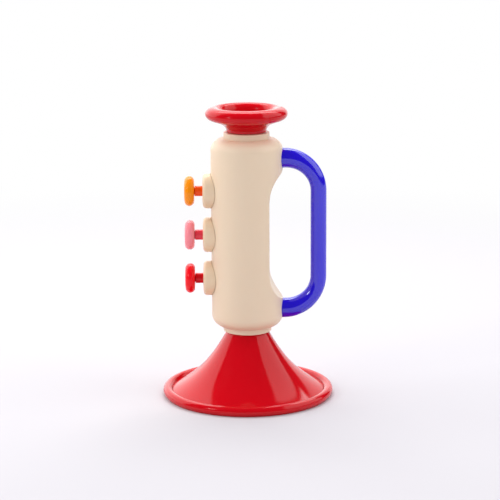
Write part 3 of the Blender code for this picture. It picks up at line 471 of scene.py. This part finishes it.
def half_bosses(side):
    """Wells in the rear half, posts in the front half, one for each body screw."""
    boss = bar(BOSS_ROUND if side > 0 else POST_ROUND, *sorted((side * PARTING, side * FAR)))
    return trimmed(joined("bosses", [turned("boss", boss, 32, "Y", (x, 0, z)) for x, z in SCREWS]))


def half_ribs(side):
    """Two ribs hug the reed chest, and one stands past each of its ends."""
    chest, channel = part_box("reed_cell_box"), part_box("wind_channel")
    left, front, far = SCREWS[0][0], chest[0].x / MM - GAP, side * FAR
    edge, beside, end_edge = side * RIB_EDGE, side * (chest[1].y / MM + GAP), side * END_RIB_EDGE
    cradle = [(left, edge), (front, edge), (front, beside)]
    cradle += [(SCOOP_FLAT, beside), (SCOOP_FLAT, far), (left, far)]
    plate = [(END_RIB_FROM, end_edge), (END_RIB_TO, end_edge), (END_RIB_TO, far), (END_RIB_FROM, far)]
    ends = (chest[0].z / MM - GAP - 2 * RIB_HALF, channel[1].z / MM + GAP)
    ribs = [prism("rib", cradle, z - RIB_HALF, z + RIB_HALF, "Z") for _, z in SCREWS[1:3]]
    ribs += [prism("rib", plate, z, z + 2 * RIB_HALF, "Z") for z in ends]
    return trimmed(joined("ribs", ribs))


def half_holes(side):
    """Holes for the handle's arms, the guides and the screws, and the wells down to the screws' seats."""
    arm = bar(ARM_ROUND + GAP, FLANGE_OUT + GAP, FAR)
    guide = bar(GUIDE_HOLE, -FAR, GUIDE_HOLE_END)
    pilot = bar(PILOT_ROUND, PILOT_FROM, PILOT_TO)
    well = bar(WELL_ROUND, WELL_SEAT - GAP, FAR)
    holes = [turned("arm", arm, 64, "X", (0, 0, z)) for z in (ARM_LOW, ARM_HIGH)]
    holes += [turned("guide", guide, 48, "X", (0, 0, z)) for z in BUTTON_HEIGHTS.values()]
    holes += [turned("pilot", pilot, 20, "Y", (x, 0, z)) for x, z in SCREWS]
    if side > 0:
        holes += [turned("well", well, 40, "Y", (x, 0, z)) for x, z in SCREWS]
    holes = joined("holes", holes)
    holes["crossing"] = True
    return holes


def dress_shell(name, node, side, finish):
    """One moulded half of the body, with its wells or posts and the ribs that hold the reed chest."""
    half = body_half(name, side)
    bosses, ribs, holes = half_bosses(side), half_ribs(side), half_holes(side)
    carved(half, [("UNION", bosses), ("UNION", ribs), ("DIFFERENCE", holes)])
    dress(half, "root", finish, node)


def dress_body_screws(finish):
    """Cross-headed screws at the bottoms of the wells."""
    head = arc((0, WELL_SEAT), HEAD_ROUND, HEAD_HEIGHT, 0, HEAD_SWEEP, steps=8)
    outline = [*SCREW_TIP, (SCREW_SHANK, WELL_SEAT), *head, (0, WELL_SEAT + HEAD_HEIGHT)]
    for number, (x, z) in enumerate(SCREWS, 1):
        screw = turned(f"body_screw_{number}", outline, 32, "Y", (x, 0, z))
        turn = Matrix.Rotation(math.radians(CROSS_FIRST + CROSS_NEXT * number), 2)
        arms = []
        for u, v in ((CROSS_LONG, CROSS_WIDE), (CROSS_WIDE, CROSS_LONG)):
            corners = [Vector(corner) for corner in ((-u, -v), (u, -v), (u, v), (-u, v))]
            corners = [turn @ corner + Vector((x, z)) for corner in corners]
            arms.append(prism("slot", corners, WELL_SEAT + CROSS_FLOOR, WELL_SEAT + CROSS_TOP, "Y"))
        recess = joined("recess", arms)
        recess["crossing"] = True
        carved(screw, [("DIFFERENCE", recess)])
        dress(screw, "root", finish, f"shell_screw_{number}")


# Bell and mouthpiece

def flare(share, inset):
    """A point of the cone, at a share of the way from its top to its rim, drawn in by an inset."""
    spread, drop = GROOVE_ROUND - BELL_NECK, BELL_HIGH - GROOVE_PLACE
    curved = 1 - FLARE_STRAIGHT
    radius = BELL_NECK + spread * (FLARE_STRAIGHT * share + curved * share**FLARE_POWER)
    run = spread * (FLARE_STRAIGHT + curved * FLARE_POWER * share ** (FLARE_POWER - 1))
    steep = math.hypot(run, drop)
    return radius - inset * drop / steep, BELL_HIGH - share * drop - inset * run / steep


def dress_bell(finish):
    """From the flange inside the body, down the cone, round the rolled rim and up the inside."""
    flange = BODY_LOW + BODY_WALL + GAP
    top = flange + BELL_FLANGE_HIGH
    outline = [(BELL_BORE, top, SOFT), (BELL_FLANGE, top, SOFT), (BELL_FLANGE, flange, FINE)]
    outline += [(BELL_SPIGOT, flange), (BELL_SPIGOT, BELL_HIGH), (BELL_NECK, BELL_HIGH, FULL)]
    outline += [flare(share, 0) for share in shares(CONE_STEPS)[1:]]
    outline += arc((BELL_ROUND - BEAD, BEAD), BEAD, BEAD, BEAD_FROM, BEAD_TO, steps=40)
    outline += [(BELL_ROUND - BEAD / 2, 0, FINE), (BELL_ROUND - BELL_FOOT, 0, FULL)]
    outline += [flare(1 - BELL_INSIDE * share, BELL_WALL) for share in shares(INSIDE_STEPS)]
    outline += [(BELL_BORE, BELL_HIGH - BELL_WALL, BELL_THROAT)]
    bell = turned("bell_moulding", outline, sides=192)
    dress(bell, "root", finish, "bell")


def dress_mouthpiece(finish):
    """From the blow tube's socket, up the cup, over the rim and down the neck to the flange."""
    middle, inner = CREST - RIM_HEIGHT / 2, RIM_ROUND - RIM_WIDTH
    crest = inner + RIM_CREST
    bowl = arc((BORE, middle), inner - BORE, middle - CREST + CUP_DEPTH, -90, 0, steps=16)
    over = arc((crest, middle), RIM_CREST, RIM_HEIGHT / 2, 180, 90, steps=12)
    outer = arc((crest, middle), RIM_WIDTH - RIM_CREST, RIM_HEIGHT / 2, 90, -90, steps=28)
    low, top = COLLAR_HIGH + GAP, CREST - RIM_HEIGHT - NECK_DROP
    sweep = math.radians(NECK_SWEEP)
    across = (NECK_TOP - NECK_BASE) / (1 - math.cos(sweep))
    neck = arc((NECK_BASE + across, low), -across, (top - low) / math.sin(sweep), NECK_SWEEP, 0, steps=20)
    flange, socket = BODY_HIGH - BODY_WALL - GAP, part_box("blow_tube")[1].z / MM + GAP
    foot = flange - MOUTH_FLANGE_HIGH
    outline = [(TUBE_SOCKET, foot, FINE), (TUBE_SOCKET, socket), (BORE, socket)]
    outline += [*bowl, *over[1:], *outer[1:], *neck, (MOUTH_SPIGOT, low), (MOUTH_SPIGOT, flange)]
    outline += [(MOUTH_FLANGE, flange, SOFT), (MOUTH_FLANGE, foot, SOFT)]
    mouthpiece = turned("mouthpiece_moulding", outline, sides=160)
    dress(mouthpiece, "root", finish, "mouthpiece")


# Handle

def dress_handle(finish):
    """One bar from the upper flange, round the grip and back to the lower flange."""
    bend_x, grip_top, middle = GRIP_X - HANDLE_BEND, ARM_HIGH - HANDLE_BEND, (ARM_LOW + ARM_HIGH) / 2
    straight = bend_x - FLANGE_OUT
    length = straight + HANDLE_BEND * math.pi / 2

    def thickness(along):
        """The bar's radius at a distance along the arm. It thins evenly towards the grip."""
        return ARM_ROUND + (GRIP_ROUND - ARM_ROUND) * (1 - math.cos(math.pi * along / length)) / 2

    flange = [(FLANGE_IN, FLANGE_ROUND - FINE), (FLANGE_IN + FINE, FLANGE_ROUND)]
    flange += [(FLANGE_OUT - FINE, FLANGE_ROUND), (FLANGE_OUT - FLANGE_STEP, FLANGE_ROUND - HAIR)]
    upper = [(x, ARM_HIGH, radius) for x, radius in flange] + [(FLANGE_OUT, ARM_HIGH, ARM_ROUND)]
    for share in shares(ARM_STEPS)[1:-1]:
        upper.append((FLANGE_OUT + straight * share, ARM_HIGH, thickness(straight * share)))
    for share in shares(BEND_STEPS):
        angle = math.pi / 2 * share
        upper.append((bend_x + HANDLE_BEND * math.sin(angle), grip_top + HANDLE_BEND * math.cos(angle),
                      thickness(straight + HANDLE_BEND * angle)))
    for share in shares(GRIP_STEPS)[1:-1]:
        upper.append((GRIP_X, grip_top + (middle - grip_top) * share, GRIP_ROUND))
    lower = [(x, 2 * middle - z, radius) for x, z, radius in reversed(upper)]
    centres = [(Vector((x, 0, z)), radius) for x, z, radius in upper + lower]
    handle = swept("handle_moulding", centres, [Vector((0, 1, 0))] * len(centres), sides=48)
    dress(handle, "root", finish, "handle")


# Buttons

def coil(name, place):
    """A coil spring along X, with a short straight lead at each end."""
    first, last = SPRING_FROM + 2 * WIRE_ROUND, SPRING_TO - 2 * WIRE_ROUND
    points = [Vector((SPRING_FROM, COIL_ROUND, 0))]
    for share in shares(SPRING_TURNS * SPRING_SIDES):
        angle = math.tau * SPRING_TURNS * share
        points.append(Vector((first + (last - first) * share, COIL_ROUND * math.cos(angle),
                              COIL_ROUND * math.sin(angle))))
    points.append(Vector((SPRING_TO, COIL_ROUND, 0)))
    out = [Vector((0, point.y, point.z)) for point in points]
    return swept(name, [(point + Vector(place), WIRE_ROUND) for point in points], out, sides=12)


def dress_button(which, cap_finish, stem_finish, guide_finish, spring_finish):
    """A cap and a stem that slide as one, in a guide, with the spring that pushes them out."""
    height = (0, 0, BUTTON_HEIGHTS[which])
    body = "button_" + which
    edge = arc((CAP_ROUND - CAP_HALF, CAP_PLACE), CAP_HALF, CAP_HALF, -90, 90, steps=24)
    outline = [(0, CAP_PLACE - CAP_HALF), *edge, (CAP_SOCKET, CAP_PLACE + CAP_HALF, HAIR)]
    outline += [(CAP_SOCKET, CAP_SOCKET_END), (0, CAP_SOCKET_END)]
    cap = turned("cap_" + which, outline, 96, "X", height)
    dress(cap, body, cap_finish, "button_cap_" + which)
    stem = turned("stem_" + which, STEM, 48, "X", height)
    dress(stem, body, stem_finish, "valve_stem_" + which)
    guide = turned("guide_" + which, GUIDE, 96, "X", height, seat=GUIDE_SEAT)
    dress(guide, "root", guide_finish, "valve_guide_" + which)
    spring = coil("spring_" + which, height)
    dress(spring, "root", spring_finish, "return_spring_" + which)
    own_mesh(spring)


# Finishes

def linear(colour):
    """Turns an sRGB hex colour to linear red, green and blue."""
    values = [int(colour[place:place + 2], 16) / 255 for place in (1, 3, 5)]
    return [v / 12.92 if v <= 0.04045 else ((v + 0.055) / 1.055) ** 2.4 for v in values] + [1.0]


def add(tree, kind, links=(), **settings):
    """Adds a node, sets its values and links its inputs from other nodes' outputs. An input's name has
    underscores for its spaces."""
    node = tree.nodes.new(kind)
    for name, value in settings.items():
        if hasattr(node, name):
            setattr(node, name, value)
        else:
            node.inputs[name.replace("_", " ")].default_value = value
    for socket, source in dict(links).items():
        tree.links.new(source, node.inputs[socket])
    return node


def blank(name):
    material = bpy.data.materials.new(name)
    material.use_nodes = True
    material.node_tree.nodes.clear()
    return material, material.node_tree


def moulded(name, colour, deeper, roughness, grain, depth, shine=0.5, soft=0.0, metallic=0.0):
    """A moulded or drawn surface: a faint cloudy drift of colour, uneven gloss, and a fine relief whose
    grain is its width in millimetres and depth its height in millimetres. Soft lets light in under it."""
    material, tree = blank(name)
    where = add(tree, "ShaderNodeTexCoord").outputs["Object"]
    drift, smear, skin = [
        add(tree, "ShaderNodeTexNoise", {"Vector": where}, Scale=1 / (size * MM), Detail=detail,
            Roughness=rough).outputs["Fac"]
        for size, detail, rough in (DRIFT, SMEAR, (grain, *GRAIN))]
    tint = add(tree, "ShaderNodeMix", {"Factor": drift}, data_type="RGBA", A=linear(colour), B=linear(deeper))
    gloss = add(tree, "ShaderNodeMapRange", {"Value": smear},
                From_Min=SMEAR_RANGE[0], From_Max=SMEAR_RANGE[1],
                To_Min=roughness * (1 - GLOSS_SPREAD), To_Max=roughness * (1 + GLOSS_SPREAD))
    relief = add(tree, "ShaderNodeBump", {"Height": skin}, Strength=1.0, Distance=depth * MM)
    shader = add(tree, "ShaderNodeBsdfPrincipled", {
        "Base Color": tint.outputs["Result"], "Roughness": gloss.outputs["Result"],
        "Normal": relief.outputs["Normal"]}, Metallic=metallic, IOR=1.5, Specular_IOR_Level=shine,
        Subsurface_Weight=soft, Subsurface_Radius=SKIN_COLOUR, Subsurface_Scale=SKIN_REACH * MM)
    add(tree, "ShaderNodeOutputMaterial", {"Surface": shader.outputs["BSDF"]})
    return material


def dress(piece, body, finish, node):
    """Gives a new piece its finish, and says which body it rides on and which CAD node it replaces."""
    piece.data.materials.clear()
    piece.data.materials.append(finish)
    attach(piece, body)
    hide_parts(node)


def paint(finish, *nodes):
    """Gives CAD nodes that stay their finish."""
    for node in nodes:
        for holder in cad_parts[node].material_slots:
            holder.material = finish


def dress_trumpet():
    # ABS, spark-eroded mould: a satin skin whose grain breaks the highlights up softly
    cream = moulded("abs_satin_cream", "#ECD7B9", "#EAD3B4", **SATIN)
    tan = moulded("abs_satin_tan", "#EED6B4", "#ECD2AE", **SATIN)
    # ABS, polished mould: deep gloss with the faintest orange-peel
    red = moulded("abs_gloss_red", "#CE0616", "#CA0514", roughness=0.09, shine=0.32, **GLOSS)
    blue = moulded("abs_gloss_blue", "#2209D6", "#1E07D0", roughness=0.12, shine=0.95, **GLOSS)
    # Zinc-plated steel: a grey metal with a soft, slightly cloudy shine
    zinc = moulded("steel_zinc_plated", "#C9CCD0", "#BFC3C8", roughness=0.3, grain=0.4, **METAL)
    # Drawn spring steel: a bright wire whose lengthwise marks are too small to draw, so only a grain
    wire = moulded("steel_spring_wire", "#B9BCC1", "#A9ADB3", roughness=0.25, grain=0.3, **METAL)
    # Rolled brass: warm, with a brushed haze
    brass = moulded("brass_rolled", "#D9B25C", "#CFA550", roughness=0.28, grain=0.3, **METAL)
    # ABS, plain mould: the mid grey of parts that stay out of sight
    grey = moulded("abs_plain_grey", "#9DA0A4", "#979A9E", roughness=0.5, grain=0.5, depth=0.006)
    # Silicone rubber: matt and dark, with a dusty bloom
    rubber = moulded("silicone_rubber_dark", "#3C3C3E", "#363638", roughness=0.75, grain=0.5, depth=0.01)

    dress_shell("body_front_half", "front_shell", -1, cream)
    dress_shell("body_rear_half", "rear_shell", 1, cream)
    dress_body_screws(zinc)
    dress_bell(red)
    dress_mouthpiece(red)
    dress_handle(blue)
    for which, (cap, stem) in BUTTONS.items():
        # ABS, polished mould: the caps' gloss is a little softer than the bell's, and the stems' softer yet
        cap_finish = moulded("abs_gloss_" + cap[0], *cap[1:], **CAP_GLOSS)
        stem_finish = moulded("abs_gloss_" + stem[0], *stem[1:], **STEM_GLOSS)
        dress_button(which, cap_finish, stem_finish, tan, wire)
        paint(rubber, "valve_pallet_" + which)
        paint(brass, "reed_" + which, "reed_rivet_" + which)
    paint(grey, "reed_cell_box", "wind_channel", "blow_tube")
    paint(zinc, "reed_plate", "chest_screw_1", "chest_screw_2", "chest_screw_3", "chest_screw_4")


# Studio

def rays(tree):
    """Whether the camera itself sees a surface, and whether it is seen in gloss or through clear pieces."""
    path = add(tree, "ShaderNodeLightPath")
    glossy, clear = path.outputs["Is Glossy Ray"], path.outputs["Is Transmission Ray"]
    sent = add(tree, "ShaderNodeMath", {0: glossy, 1: clear}, operation="MAXIMUM")
    return path.outputs["Is Camera Ray"], sent.outputs[0]


def lay_floor():
    """A white floor that keeps the soft shadow round the bell and fades to plain white further out."""
    corners = [(x * FLOOR_REACH, y * FLOOR_REACH, 0) for x, y in ((-1, -1), (1, -1), (1, 1), (-1, 1))]
    floor = mesh_piece("floor", corners, [(0, 1, 2, 3)])
    material, tree = blank("floor_white")
    where = add(tree, "ShaderNodeTexCoord").outputs["Object"]
    distance = add(tree, "ShaderNodeVectorMath", {0: where}, operation="LENGTH").outputs["Value"]
    fade = add(tree, "ShaderNodeMapRange", {"Value": distance}, interpolation_type="SMOOTHSTEP",
               From_Min=FLOOR_FADE[0], From_Max=FLOOR_FADE[1])
    camera_ray, sent_ray = rays(tree)
    seen = add(tree, "ShaderNodeMath", {0: camera_ray, 1: sent_ray}, operation="MAXIMUM")
    share = add(tree, "ShaderNodeMath", {0: seen.outputs[0], 1: fade.outputs["Result"]}, operation="MULTIPLY")
    matt = add(tree, "ShaderNodeBsdfDiffuse", Color=linear(FLOOR_COLOUR))
    white = add(tree, "ShaderNodeEmission", Color=WHITE, Strength=1.0)
    mix = add(tree, "ShaderNodeMixShader", {0: share.outputs[0], 1: matt.outputs[0], 2: white.outputs[0]})
    add(tree, "ShaderNodeOutputMaterial", {"Surface": mix.outputs[0]})
    floor.data.materials.append(material)


def heading(around, up):
    """The direction round from the camera's side towards the handle, and up, in degrees."""
    turn, lift = math.radians(around), math.radians(up)
    return Vector((math.sin(turn) * math.cos(lift), -math.cos(turn) * math.cos(lift), math.sin(lift)))


def panel(tree, way, corners, level):
    """How bright a flat softbox looks in a direction. Its edges are straight and slightly soft."""
    corners = [heading(*corner) for corner in corners]
    middle = sum(corners, Vector())
    shown = None
    for number, corner in enumerate(corners):
        across = corner.cross(corners[number - 1]).normalized()
        across *= 1 if across.dot(middle) > 0 else -1
        inward = add(tree, "ShaderNodeVectorMath", {0: way}, operation="DOT_PRODUCT")
        inward.inputs[1].default_value = across
        edge = add(tree, "ShaderNodeMapRange", {"Value": inward.outputs["Value"]},
                   interpolation_type="SMOOTHSTEP", From_Min=-PANEL_SOFT, From_Max=PANEL_SOFT,
                   To_Max=1.0 if shown else level)
        if shown:
            edge = add(tree, "ShaderNodeMath", {0: shown, 1: edge.outputs[0]}, operation="MULTIPLY")
        shown = edge.outputs[0]
    return shown


def light_room():
    """Even fill from all sides for the colours. Gloss mirrors softboxes, a backdrop and the dim room, and the
    camera sees plain white."""
    world = bpy.data.worlds.new("studio")
    bpy.context.scene.world = world
    world.use_nodes = True
    tree = world.node_tree
    tree.nodes.clear()
    way = add(tree, "ShaderNodeTexCoord").outputs["Generated"]
    bright = add(tree, "ShaderNodeValue").outputs[0]
    bright.default_value = ROOM_DIM
    for corners, level in PANELS:
        lit = panel(tree, way, corners, level)
        bright = add(tree, "ShaderNodeMath", {0: bright, 1: lit}, operation="MAXIMUM").outputs[0]
    studio = add(tree, "ShaderNodeBackground", {"Strength": bright}, Color=WHITE)
    fill = add(tree, "ShaderNodeBackground", Color=linear(FILL_COLOUR), Strength=ROOM_FILL)
    white = add(tree, "ShaderNodeBackground", Color=WHITE, Strength=1.0)
    camera_ray, sent_ray = rays(tree)
    other = add(tree, "ShaderNodeMixShader", {0: sent_ray, 1: fill.outputs[0], 2: studio.outputs[0]})
    seen = add(tree, "ShaderNodeMixShader", {0: camera_ray, 1: other.outputs[0], 2: white.outputs[0]})
    add(tree, "ShaderNodeOutputWorld", {"Surface": seen.outputs[0]})


def hang_softbox(name, around, up, distance, size, bright, mirrored):
    """A softbox in a direction from the trumpet, which it faces. Its power follows from how bright its face
    looks. Gloss mirrors it only if mirrored is true, because the panels stand in for the others."""
    light = bpy.data.lights.new(name, "AREA")
    light.shape, light.size, light.size_y = "RECTANGLE", *size
    light.energy = bright * math.pi * size[0] * size[1]
    lamp = placed(name, light)
    lamp.visible_glossy = mirrored
    way = heading(around, up)
    lamp.location = Vector((0, 0, LAMP_AIM)) + way * distance
    lamp.rotation_mode = "QUATERNION"
    lamp.rotation_quaternion = (-way).to_track_quat("-Z", "Y")


def place_camera():
    """Looks at the trumpet from the photograph's place: a long lens, a little above, very slightly rolled."""
    down, aside, roll = (math.radians(angle) for angle in (CAMERA_DOWN, CAMERA_ASIDE, CAMERA_ROLL))
    back = Vector((0, -math.cos(down), math.sin(down)))
    camera = placed("camera", bpy.data.cameras.new("camera"))
    camera.data.lens = LENS
    camera.location = Vector((0, 0, CAMERA_AIM)) + back * CAMERA_AWAY
    camera.rotation_mode = "QUATERNION"
    camera.rotation_quaternion = (Quaternion((0, 0, 1), -aside) @ (-back).to_track_quat("-Z", "Y")
                                  @ Quaternion((0, 0, 1), roll))
    bpy.context.scene.camera = camera


bpy.context.scene.view_settings.view_transform = "Standard"
dress_trumpet()
lay_floor()
light_room()
for lamp_row in LAMPS:
    hang_softbox(*lamp_row)
place_camera()
